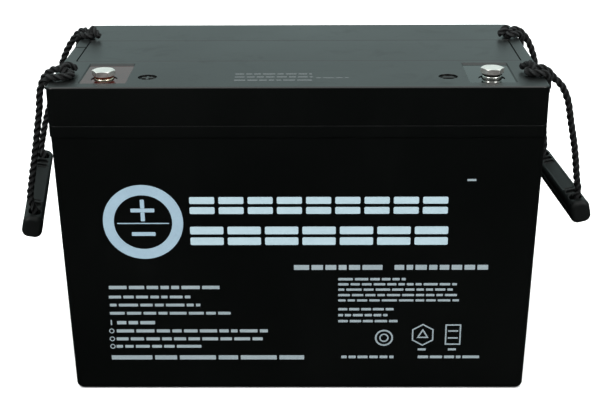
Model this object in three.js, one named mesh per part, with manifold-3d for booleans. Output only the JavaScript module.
// Sealed 12 V deep cycle battery with rope handles, in millimetres.
// +Z is up, +X is to the right, -Y is the printed front. The origin is the middle of the underside.
import * as THREE from 'three';
import { mergeVertices } from 'three/addons/utils/BufferGeometryUtils.js';
import Module from 'manifold-3d';

const wasm = await Module();
wasm.setup();

// ---------------------------------------------------------------- driving dimensions
const L = 309;              // length over the lid and collar
const W = 168;              // width over the lid and collar
const H = 212;              // height to the top of the lid
const CORNER = 5;           // vertical corner radius
const SEAM_Z = 187;         // joint between case and lid
const COLLAR_Z = 180;       // underside of the case collar
const TAPER = 3.8;          // how far each side draws in at the bottom
const STEP = 0.6;           // step under the collar, each side
const FOOT_R = 4;           // rounding round the underside
const WALL = 3.4;           // outer wall
const PARTITION = 2;        // wall between two cells
const CELLS = 6;
const FLOOR = 3;            // case floor
const GAP = 0.3;            // clearance between touching pieces

const STRIP = { x: 145.7, y0: -21, y1: 35, floor: 209 };   // vent cover strip
const PAD = { x0: 106, x1: 136, y0: -75, y1: -27, depth: 1.0 };
const TERM = { x: 121.5, y: -61.2 };                       // terminal axes
const POST_R = 5.9;         // terminal post radius
const POST_TOP = { positive: 212.2, negative: 213.2 };
const SHANK_R = 4;          // M8 bolt
const HEX_AF = 13;          // across flats
const HEAD_H = 3.5;
const DISC = { x: 94.3, y: -60.5, r: 6, depth: 0.8 };      // polarity marks
const VALVE_Y = 7;
const EYE_X = 147.5;        // rope eye holes
const EYE_Y = { front: -58, back: 48 };
const EYE_R = 3.3;
const ROPE_R = 2.4;         // rope radius
const PIVOT = { x: 162, z: 208.7 };                        // where the rope bends as a handle swings
const GRIP = { length: 106, width: 13.5, height: 15.5, window: 43 };

const PLATE = { pos: 3.4, neg: 2.3, gap: 1.5, halfWidth: 74, z0: 7, z1: 152 };
const STRAP = { y: 50, z0: 160, z1: 168 };
const LUG = 12;

// ---------------------------------------------------------------- helpers
function solid(geometry) {
  const g = geometry.index ? geometry.toNonIndexed() : geometry.clone();
  for (const k of Object.keys(g.attributes)) if (k !== 'position') g.deleteAttribute(k);
  const m = mergeVertices(g, 1e-4);
  const tri = [];
  const idx = m.index.array;
  for (let i = 0; i < idx.length; i += 3) {
    const [a, b, c] = [idx[i], idx[i + 1], idx[i + 2]];
    if (a !== b && b !== c && a !== c) tri.push(a, b, c);
  }
  const mesh = new wasm.Mesh({
    numProp: 3,
    vertProperties: new Float32Array(m.attributes.position.array),
    triVerts: new Uint32Array(tri),
  });
  return new wasm.Manifold(mesh);
}

function geometryOf(manifold) {
  const m = manifold.getMesh();
  const g = new THREE.BufferGeometry();
  g.setAttribute('position', new THREE.BufferAttribute(new Float32Array(m.vertProperties), 3));
  g.setIndex(new THREE.BufferAttribute(new Uint32Array(m.triVerts), 1));
  g.computeVertexNormals();
  return g;
}

function box(x0, x1, y0, y1, z0, z1) {
  const g = new THREE.BoxGeometry(x1 - x0, y1 - y0, z1 - z0);
  g.translate((x0 + x1) / 2, (y0 + y1) / 2, (z0 + z1) / 2);
  return solid(g);
}

function cone(r0, r1, z0, z1, x = 0, y = 0, seg = 20) {
  const g = new THREE.CylinderGeometry(r1, r0, z1 - z0, seg);
  g.rotateX(Math.PI / 2);
  g.translate(x, y, (z0 + z1) / 2);
  return solid(g);
}

const cyl = (r, z0, z1, x = 0, y = 0, seg = 20) => cone(r, r, z0, z1, x, y, seg);

function ring(rIn, rOut, z0, z1, x, y, seg = 20) {
  return cyl(rOut, z0, z1, x, y, seg).subtract(cyl(rIn, z0 - 1, z1 + 1, x, y, seg));
}

// rounded rectangle, as points counter-clockwise
function outline(w, d, r, n = 4) {
  const pts = [];
  const cs = [[w / 2 - r, d / 2 - r, 0], [-w / 2 + r, d / 2 - r, 1], [-w / 2 + r, -d / 2 + r, 2], [w / 2 - r, -d / 2 + r, 3]];
  for (const [cx, cy, q] of cs) {
    for (let i = 0; i <= n; i++) {
      const a = (q + i / n) * Math.PI / 2;
      pts.push([cx + r * Math.cos(a), cy + r * Math.sin(a)]);
    }
  }
  return pts;
}

// closed body through rounded-rectangle sections {z, w, d, r, x, y}
function loft(sections, n = 4) {
  const rings = sections.map((s) => outline(s.w, s.d, s.r, n).map(([x, y]) => [x + (s.x || 0), y + (s.y || 0), s.z]));
  const N = rings[0].length;
  const pos = rings.flat().flat();
  const tri = [];
  for (let k = 0; k + 1 < rings.length; k++) {
    for (let i = 0; i < N; i++) {
      const j = (i + 1) % N, a = k * N + i, b = k * N + j, c = (k + 1) * N + i, d = (k + 1) * N + j;
      tri.push(a, b, d, a, d, c);
    }
  }
  const top = (rings.length - 1) * N;
  for (let i = 1; i + 1 < N; i++) {
    tri.push(0, i + 1, i);
    tri.push(top, top + i, top + i + 1);
  }
  const g = new THREE.BufferGeometry();
  g.setAttribute('position', new THREE.BufferAttribute(new Float32Array(pos), 3));
  g.setIndex(tri);
  return g;
}

// round tube along a smooth line through the points
function tube(points, radius, steps, sides = 8) {
  const curve = new THREE.CatmullRomCurve3(points.map((p) => new THREE.Vector3(...p)), false, 'centripetal');
  const shape = new THREE.Shape();
  for (let i = 0; i < sides; i++) {
    const a = 2 * Math.PI * i / sides;
    if (i) shape.lineTo(radius * Math.cos(a), radius * Math.sin(a));
    else shape.moveTo(radius * Math.cos(a), radius * Math.sin(a));
  }
  shape.closePath();
  return new THREE.ExtrudeGeometry(shape, { steps, extrudePath: curve, bevelEnabled: false });
}

const MATERIALS = {
  case_black: { color: 0x0b0d0c, roughness: 0.38, metalness: 0 },
  lid_black: { color: 0x101312, roughness: 0.3, metalness: 0 },
  rubber: { color: 0x161616, roughness: 0.8, metalness: 0 },
  lead: { color: 0x6d7073, roughness: 0.6, metalness: 0.9 },
  lead_oxide: { color: 0x4a3126, roughness: 0.85, metalness: 0.2 },
  glass_mat: { color: 0xe6e4dc, roughness: 0.95, metalness: 0 },
  post_metal: { color: 0xd8d2bf, roughness: 0.22, metalness: 1 },
  bolt_steel: { color: 0xe4e4e0, roughness: 0.16, metalness: 1 },
  spring_steel: { color: 0x4a453f, roughness: 0.4, metalness: 1 },
  resin_red: { color: 0x7a1418, roughness: 0.2, metalness: 0 },
  resin_black: { color: 0x0a0a0b, roughness: 0.2, metalness: 0 },
  rope: { color: 0x0d0e0e, roughness: 0.75, metalness: 0 },
  grip: { color: 0x17191a, roughness: 0.5, metalness: 0 },
  sealant: { color: 0x202224, roughness: 0.7, metalness: 0 },
};
const shared = {};
for (const [k, v] of Object.entries(MATERIALS)) shared[k] = new THREE.MeshStandardMaterial(v);

const battery = new THREE.Group();
battery.name = 'battery';
function put(name, body, material) {
  const g = body.isBufferGeometry ? body : geometryOf(body);
  const mesh = new THREE.Mesh(g, shared[material]);
  mesh.name = name;
  battery.add(mesh);
  return mesh;
}

// ---------------------------------------------------------------- cells
const innerX = L / 2 - TAPER - WALL;                       // inner half length at the floor
const cellW = (2 * innerX - (CELLS - 1) * PARTITION) / CELLS;
const cellX = [...Array(CELLS).keys()].map((i) => -innerX + cellW / 2 + i * (cellW + PARTITION));
const wallX = [...Array(CELLS - 1).keys()].map((i) => cellX[i] + (cellW + PARTITION) / 2);
const positiveSide = (i) => (i % 2 ? 1 : -1);              // -1: positive strap at the front
const RIM_Z = SEAM_Z - GAP / 2;
const WELD_Z = 174;

// ---------------------------------------------------------------- container
{
  const below = 2 * STEP, foot = 2 * TAPER;
  let body = solid(loft([
    ...[0, 30, 60, 90].map((a) => {                        // rounded edge round the underside
      const t = a * Math.PI / 180, inset = FOOT_R * (1 - Math.sin(t));
      return { z: FOOT_R * (1 - Math.cos(t)), w: L - foot - 2 * inset, d: W - foot - 2 * inset, r: CORNER - inset };
    }),
    { z: COLLAR_Z - 1.5, w: L - below, d: W - below, r: CORNER },
    { z: COLLAR_Z, w: L, d: W, r: CORNER },
    { z: RIM_Z, w: L, d: W, r: CORNER },
  ]));
  const y0 = W - 2 * TAPER - 2 * WALL, y1 = W - 2 * STEP - 2 * WALL - 1.2;
  for (const x of cellX) {
    body = body.subtract(solid(loft([
      { z: FLOOR, w: cellW, d: y0, r: 2, x },
      { z: RIM_Z + 1, w: cellW, d: y1, r: 2, x },
    ], 2)));
  }
  wallX.forEach((x, i) => {
    const y = -positiveSide(i) * STRAP.y;
    const hole = new THREE.CylinderGeometry(5.5, 5.5, PARTITION + 2, 14);
    hole.rotateZ(Math.PI / 2);
    hole.translate(x, y, WELD_Z);
    body = body.subtract(solid(hole));
  });
  // groove in the rim for the seal bead
  const groove = solid(loft([{ z: RIM_Z - 2, w: L - 3, d: W - 3, r: 4 }, { z: RIM_Z + 1, w: L - 3, d: W - 3, r: 4 }]))
    .subtract(solid(loft([{ z: RIM_Z - 3, w: L - 6, d: W - 6, r: 3 }, { z: RIM_Z + 2, w: L - 6, d: W - 6, r: 3 }])));
  body = body.subtract(groove);
  put('container', body, 'case_black');

  const bead = solid(loft([{ z: RIM_Z - 1.7, w: L - 3.6, d: W - 3.6, r: 3.9 }, { z: RIM_Z - 0.1, w: L - 3.6, d: W - 3.6, r: 3.9 }]))
    .subtract(solid(loft([{ z: RIM_Z - 3, w: L - 5.4, d: W - 5.4, r: 3.2 }, { z: RIM_Z + 2, w: L - 5.4, d: W - 5.4, r: 3.2 }])));
  put('lid_seal', bead, 'sealant');
}

// ---------------------------------------------------------------- lid
const LID_Z0 = SEAM_Z + GAP / 2;
const PLATE_Z = 205.5;      // underside of the lid's top plate
const SHELF_Z = 197.6;      // where the post flange rests
const WELL_Z = 199;         // floor of the valve wells
{
  let body = solid(loft([
    { z: LID_Z0, w: L, d: W, r: CORNER },
    { z: H - 1.1, w: L, d: W, r: CORNER },
    { z: H, w: L - 2.2, d: W - 2.2, r: CORNER - 0.8 },
  ]));
  // hollow underneath, less the ribs and bosses
  let hollow = box(-L / 2 + 3.8, L / 2 - 3.8, -W / 2 + 3.8, W / 2 - 3.8, LID_Z0 - 1, PLATE_Z);
  for (const x of wallX) hollow = hollow.subtract(box(x - 1.2, x + 1.2, -W, W, LID_Z0 - 2, PLATE_Z + 1));
  for (const s of [-1, 1]) {
    for (const y of Object.values(EYE_Y)) {
      hollow = hollow.subtract(box(Math.min(s * 142, s * 160), Math.max(s * 142, s * 160), y - 6.5, y + 6.5, 191, PLATE_Z + 1));
    }
    hollow = hollow.subtract(cyl(12.5, 190, PLATE_Z + 1, s * TERM.x, TERM.y));
  }
  for (const x of cellX) hollow = hollow.subtract(cyl(11.5, WELL_Z - 2.5, PLATE_Z + 1, x, VALVE_Y, 14));
  body = body.subtract(hollow);
  // strip recess and valve wells with their necks
  body = body.subtract(box(-STRIP.x - 0.7, STRIP.x + 0.7, STRIP.y0 - 0.3, STRIP.y1 + 0.3, STRIP.floor, H + 1));
  for (const x of cellX) {
    const well = cyl(9.5, WELL_Z, STRIP.floor + 1, x, VALVE_Y, 16).subtract(cyl(5.2, WELL_Z - 1, 206.5, x, VALVE_Y, 12));
    body = body.subtract(well).subtract(cyl(2.5, WELL_Z - 4, STRIP.floor + 1, x, VALVE_Y, 8));
  }
  // terminal pads, post bores, polarity discs
  for (const s of [-1, 1]) {
    body = body.subtract(box(Math.min(s * PAD.x0, s * PAD.x1), Math.max(s * PAD.x0, s * PAD.x1), PAD.y0, PAD.y1, H - PAD.depth, H + 1));
    body = body.subtract(cyl(9.5, SHELF_Z, H + 1, s * TERM.x, TERM.y));
    body = body.subtract(cyl(7.6, 185, SHELF_Z + 1, s * TERM.x, TERM.y));
    body = body.subtract(cyl(DISC.r, H - DISC.depth, H + 1, s * DISC.x, DISC.y, 24));
    let mark = box(s * DISC.x - 3.6, s * DISC.x + 3.6, DISC.y - 0.75, DISC.y + 0.75, H - DISC.depth - 0.2, H - 0.2);
    if (s < 0) mark = mark.add(box(s * DISC.x - 0.75, s * DISC.x + 0.75, DISC.y - 3.6, DISC.y + 3.6, H - DISC.depth - 0.2, H - 0.2));
    body = body.add(mark);
    // rope eyes: a hole down through the top and out through the side, leaving a bridge
    for (const y of Object.values(EYE_Y)) {
      body = body.subtract(cyl(EYE_R, 196.2, H + 1, s * EYE_X, y, 14));
      const a = s * (EYE_X - EYE_R + 0.6), b = s * (L / 2 + 1);
      body = body.subtract(box(Math.min(a, b), Math.max(a, b), y - EYE_R, y + EYE_R, 195.6, 203.4));
    }
  }
  // gas outlet groove from the strip recess to the left side
  body = body.subtract(box(-L / 2 - 1, -STRIP.x, 16.2, 18.0, H - 1.5, H + 1));
  put('lid', body, 'lid_black');

  const yc = (STRIP.y0 + STRIP.y1) / 2, d = STRIP.y1 - STRIP.y0, w = 2 * STRIP.x;
  put('vent_cover', solid(loft([
    { z: STRIP.floor + GAP, w, d, r: 1.2, y: yc },
    { z: H - 0.4, w, d, r: 1.2, y: yc },
    { z: H, w: w - 0.8, d: d - 0.8, r: 0.9, y: yc },
  ], 3)), 'lid_black');
}

// ---------------------------------------------------------------- valves
cellX.forEach((x, i) => {
  const cap = cone(7, 6.6, WELL_Z + 0.6, 208.3, x, VALVE_Y, 14).subtract(cyl(5.7, WELL_Z - 1, 206.8, x, VALVE_Y, 14));
  put(`valve_cap_${i + 1}`, cap, 'rubber');
});

// ---------------------------------------------------------------- plate groups, separators
function zigzag(line, t) {
  const side = (k) => line.map((p, i) => {
    const a = line[Math.max(i - 1, 0)], b = line[Math.min(i + 1, line.length - 1)];
    const n = (u, v) => { const dx = v[0] - u[0], dy = v[1] - u[1], l = Math.hypot(dx, dy) || 1; return [-dy / l, dx / l]; };
    const n1 = i ? n(a, p) : n(p, b), n2 = i + 1 < line.length ? n(p, b) : n1;
    const m = i && i + 1 < line.length ? [n1[0] + n2[0], n1[1] + n2[1]] : n1;
    return [p[0] + k * t / 2 * m[0], p[1] + k * t / 2 * m[1]];
  });
  return [...side(1), ...side(-1).reverse()];
}

cellX.forEach((xc, i) => {
  const plates = [];
  let x = xc - (5 * PLATE.pos + 6 * PLATE.neg + 10 * PLATE.gap) / 2;
  for (let k = 0; k < 11; k++) {
    const t = k % 2 ? PLATE.pos : PLATE.neg;
    plates.push([x, x + t, k % 2]);
    x += t + PLATE.gap;
  }
  for (const kind of [1, 0]) {
    const y = (kind ? 1 : -1) * positiveSide(i) * STRAP.y;
    let group = box(xc - 21.6, xc + 21.6, y - 7, y + 7, STRAP.z0, STRAP.z1);
    for (const [a, b, k] of plates) {
      if (k !== kind) continue;
      group = group.add(box(a, b, -PLATE.halfWidth, PLATE.halfWidth, PLATE.z0, PLATE.z1));
      group = group.add(box(a, b, y - LUG / 2, y + LUG / 2, PLATE.z1 - 1, STRAP.z0 + 1));
    }
    // upright tab that is welded through the partition, or the foot of a terminal pillar
    const right = kind === 0;
    const last = right ? i === CELLS - 1 : i === 0;
    if (last) {
      const tx = right ? TERM.x : -TERM.x;
      group = group.add(box(tx - 9, tx + 9, TERM.y - 9, y + 1, STRAP.z0, STRAP.z1));
    } else {
      const e = right ? xc + cellW / 2 - 1.1 : xc - cellW / 2 + 1.1;
      group = group.add(box(Math.min(e, e + (right ? -5 : 5)), Math.max(e, e + (right ? -5 : 5)), y - 7, y + 7, STRAP.z0, 181));
    }
    put(`${kind ? 'positive' : 'negative'}_plates_${i + 1}`, group, kind ? 'lead_oxide' : 'lead');
  }
  const ye = PLATE.halfWidth + 1.2;
  const line = [];
  for (let k = 0; k < 10; k++) {
    const g = (plates[k][1] + plates[k + 1][0]) / 2;
    line.push(...(k % 2 ? [[g, ye], [g, -ye]] : [[g, -ye], [g, ye]]));
  }
  const shape = new THREE.Shape(zigzag(line, PLATE.gap - 2 * GAP).map(([a, b]) => new THREE.Vector2(a, b)));
  const mat = new THREE.ExtrudeGeometry(shape, { depth: 151, bevelEnabled: false });
  mat.translate(0, 0, 5);
  put(`separator_${i + 1}`, solid(mat), 'glass_mat');
});

wallX.forEach((x, i) => {
  const y = -positiveSide(i) * STRAP.y;
  const half = PARTITION / 2 + 1.1 - GAP;
  const weld = new THREE.CylinderGeometry(5, 5, 2 * half, 14);
  weld.rotateZ(Math.PI / 2);
  weld.translate(x, y, WELD_Z);
  put(`intercell_weld_${i + 1}`, solid(weld), 'lead');
});

// ---------------------------------------------------------------- terminals
for (const [name, s] of [['positive', -1], ['negative', 1]]) {
  const x = s * TERM.x, y = TERM.y, top = POST_TOP[name];
  put(`${name}_pillar`, cyl(7.2, STRAP.z1 + GAP, SHELF_Z - GAP, x, y, 16), 'lead');
  put(`${name}_post`, cyl(POST_R, SHELF_Z + GAP, top - 0.4, x, y, 24)
    .add(cone(POST_R, POST_R - 0.4, top - 0.4, top, x, y, 24))
    .add(cyl(9, SHELF_Z + GAP, 202.5, x, y, 20))
    .subtract(cyl(SHANK_R + 0.3, 201, top + 1, x, y, 16)), 'post_metal');
  const o = new THREE.TorusGeometry(7.65, 1.2, 6, 16);
  o.translate(x, y, 204.2);
  put(`${name}_o_ring`, solid(o), 'rubber');
  put(`${name}_seal_ring`, ring(POST_R + 0.3, 9.2, 205.8, H - PAD.depth - 1.2, x, y, 24), name === 'positive' ? 'resin_red' : 'resin_black');
  put(`${name}_lock_washer`, ring(SHANK_R + 0.3, 6.3, top + 0.2, top + 1.1, x, y, 20)
    .subtract(box(x + (s < 0 ? -8 : 3), x + (s < 0 ? -3 : 8), y - 0.5, y + 0.5, top - 1, top + 3)), 'spring_steel');
  // low hexagon head with its corners chamfered, and a plain shank
  const hex = new THREE.Shape([...Array(6).keys()].map((k) => new THREE.Vector2(
    HEX_AF / Math.sqrt(3) * Math.cos(k * Math.PI / 3), HEX_AF / Math.sqrt(3) * Math.sin(k * Math.PI / 3))));
  const head = new THREE.ExtrudeGeometry(hex, { depth: HEAD_H, bevelEnabled: false });
  head.translate(x, y, top + 1.3);
  const z0 = top + 1.3, z1 = z0 + HEAD_H;
  put(`${name}_bolt`, solid(head).intersect(cone(6.2 + (HEAD_H + 1) / Math.tan(Math.PI / 6), 6.2, z0 - 1, z1, x, y, 24))
    .add(cyl(SHANK_R, 203, z0 + 1, x, y, 16)), 'bolt_steel');
}

// ---------------------------------------------------------------- rope handles
// grip centre, direction from front to back, and the rope's line down each side
const HANDLES = {
  left: {
    centre: [-183.5, -2, 113.5], along: [-13, 106, 14],
    front: [[-165.5, -48.6, 199.4], [-166.8, -48.1, 188.3], [-168.8, -47.6, 177.6], [-172.1, -46.9, 159.5], [-176.4, -46.2, 138.2], [-178.6, -45.6, 124.5]],
    back: [[-166.4, 50.8, 201.8], [-169.6, 50.4, 194.6], [-177, 48.2, 173.7], [-184.2, 45.8, 152.8], [-187.1, 43.6, 140.2], [-188.8, 41.6, 129.8]],
    pivotY: { front: -49.2, back: 51.2 },
  },
  right: {
    centre: [182, -1.75, 118.25], along: [-8, 103.5, 1.5],
    front: [[168.3, -47.9, 202.4], [173, -47.2, 192.9], [176.1, -46.4, 179.1], [180.6, -45.2, 158.1], [183.8, -44.4, 136.6], [185.2, -44.2, 128.4]],
    back: [[166, 49.4, 200.4], [169.2, 47.9, 188], [172.4, 46, 170], [175.7, 43.8, 150], [178, 41.9, 131]],
    pivotY: { front: -49, back: 50 },
  },
};

const KNOTS = {
  left_front: { s: -1, end: 'front', core: [-145.5, -55.5, 217.2], axes: [7.6, 6.6, 4.2], tail: [-137.6, -52, 216],
    lobe: [[-141, -64, 215.1], [-144.5, -71.5, 214.9], [-150.5, -73.5, 215.6], [-156, -69.5, 213], [-157.4, -62.5, 208.5]] },
  right_front: { s: 1, end: 'front', core: [145.8, -53.5, 217.4], axes: [7.8, 6.6, 4.4], tail: [137.8, -47.5, 216],
    lobe: [[142, -61, 215.1], [145.5, -66.5, 214.9], [151, -67.5, 216], [156, -64.5, 213], [157.4, -60.5, 208.5]] },
  left_back: { s: -1, end: 'back', core: [-147.5, 42.5, 217.2], axes: [7.2, 6.4, 4.2], tail: [-137.8, 35.5, 216],
    lobe: [[-146, 36.6, 215.1], [-150.5, 36.6, 215.3], [-155.4, 40, 214.4], [-157.4, 45, 208.5]] },
  right_back: { s: 1, end: 'back', core: [146.5, 42.5, 217.2], axes: [7.4, 6.4, 4.2], tail: [136.8, 37, 216],
    lobe: [[145, 36.6, 215.1], [150.5, 36.6, 215.3], [155.4, 40, 214.4], [157.4, 45, 208.5]] },
};

for (const [name, h] of Object.entries(HANDLES)) {
  const s = name === 'left' ? -1 : 1;
  const c = new THREE.Vector3(...h.centre), a = new THREE.Vector3(...h.along).normalize();
  const up = new THREE.Vector3(s * PIVOT.x - c.x, 0, PIVOT.z - c.z);
  up.addScaledVector(a, -up.dot(a)).normalize();
  const side = new THREE.Vector3().crossVectors(up, a).normalize();
  const at = (u, w) => c.clone().addScaledVector(a, u).addScaledVector(up, w).toArray();
  const q = GRIP.window;

  const down = [...h.front, at(-q + 0.2, 8), at(-q + 1.2, 3.6), at(-q + 4.4, 0.6), at(-q + 9, 0)];
  const run = [at(-22, 0), at(-11, 0), at(0, 0), at(11, 0), at(22, 0)];
  const rise = [at(q - 9, 0), at(q - 4.4, 0.6), at(q - 1.2, 3.6), at(q - 0.2, 8), ...[...h.back].reverse()];
  // the rope starts and ends just past the points where it bends as the handle swings
  const towards = (p, t, d) => {
    const P = new THREE.Vector3(...p), T = new THREE.Vector3(...t);
    return P.addScaledVector(T.sub(P).normalize(), d).toArray();
  };
  const pf = [s * PIVOT.x, h.pivotY.front, PIVOT.z], pb = [s * PIVOT.x, h.pivotY.back, PIVOT.z];
  const path = [towards(pf, h.front[0], 3.5), ...down, ...run, ...rise, towards(pb, h.back[0], 3.5)];
  put(`${name}_rope`, tube(path, ROPE_R, 46), 'rope');

  // moulded grip: rounded bar with a bore for the rope, a window near each end, a shallow top panel and a side slit
  const m = new THREE.Matrix4().makeBasis(side, up, a).setPosition(c);
  const put3 = (geometry) => solid(geometry.applyMatrix4(m));
  const E = GRIP.length / 2, w = GRIP.width, d = GRIP.height;
  let grip = put3(loft([
    { z: -E, w: w - 5, d: d - 5, r: 3 },
    { z: -E + 0.8, w: w - 2.2, d: d - 2.2, r: 4 },
    { z: -E + 2.6, w, d, r: 4.6 },
    { z: E - 2.6, w, d, r: 4.6 },
    { z: E - 0.8, w: w - 2.2, d: d - 2.2, r: 4 },
    { z: E, w: w - 5, d: d - 5, r: 3 },
  ], 3));
  const bore = solid(tube([at(-q - 0.2, 14), at(-q + 0.2, 8), at(-q + 1.2, 3.6), at(-q + 4.4, 0.6), at(-q + 9, 0), ...run,
    at(q - 9, 0), at(q - 4.4, 0.6), at(q - 1.2, 3.6), at(q - 0.2, 8), at(q + 0.2, 14)], ROPE_R + 0.7, 40, 8));
  grip = grip.subtract(bore);
  const cut = (x0, x1, y0, y1, z0, z1) => {
    const g = new THREE.BoxGeometry(x1 - x0, y1 - y0, z1 - z0);
    g.translate((x0 + x1) / 2, (y0 + y1) / 2, (z0 + z1) / 2);
    return put3(g);
  };
  for (const e of [-1, 1]) {
    const z = [e * (q - 5), e * (q + 4)].sort((p, r) => p - r);
    grip = grip.subtract(cut(-4, 4, 2.5, d, z[0], z[1]));
    const z2 = [e * 30, e * 35.5].sort((p, r) => p - r);
    grip = grip.subtract(cut(-4, 4, d / 2 - 2.2, d, z2[0], z2[1]));
  }
  grip = grip.subtract(cut(-4, 4, d / 2 - 0.9, d, -28, 28));
  const sx = side.x * -s > 0 ? 1 : -1;             // slit on the side that faces the case
  grip = grip.subtract(cut(Math.min(sx * (w / 2 - 1.6), sx * w), Math.max(sx * (w / 2 - 1.6), sx * w), 0.6, 2.4, -E + 8, E - 8));
  put(`${name}_grip`, grip, 'grip');
}

for (const [name, k] of Object.entries(KNOTS)) {
  const { s, end } = k;
  const side = name.startsWith('left') ? 'left' : 'right';
  const ye = EYE_Y[end], yp = HANDLES[side].pivotY[end];
  const core = new THREE.SphereGeometry(1, 10, 7);
  core.scale(...k.axes);
  core.translate(...k.core);
  let body = solid(core);
  const mid = s * (EYE_X + 4.95);
  const turn = [];
  for (let i = 0; i <= 6; i++) {
    const t = Math.PI * i / 6;
    turn.push([mid - s * 4.95 * Math.cos(t), ye, 203.5 - 4.95 * Math.sin(t)]);
  }
  // tail, lobe over the lid's edge and round the bridge of the eye, and the start of the hanging strand
  body = body.add(solid(tube([k.core, [(k.core[0] + k.tail[0]) / 2, (k.core[1] + k.tail[1]) / 2, 217.4], k.tail], ROPE_R, 3, 6)));
  body = body.add(solid(tube([[k.core[0], k.core[1], 216.4], ...k.lobe, ...turn.slice().reverse(), [s * EYE_X, ye, 209], [s * EYE_X, ye + (k.core[1] - ye) * 0.15, 214.6], [k.core[0], ye + (k.core[1] - ye) * 0.5, 217]], ROPE_R, 34, 6)));
  body = body.add(solid(tube([[k.core[0] + s * 1, k.core[1], 218], [s * 151.5, (k.core[1] + yp) / 2, 218.6], [s * 157, yp + (k.core[1] - yp) * 0.1, 215], [s * (PIVOT.x - 2.2), yp, PIVOT.z + 2.6]], ROPE_R, 7, 6)));
  put(`${name}_knot`, body, 'rope');
}

export default battery;
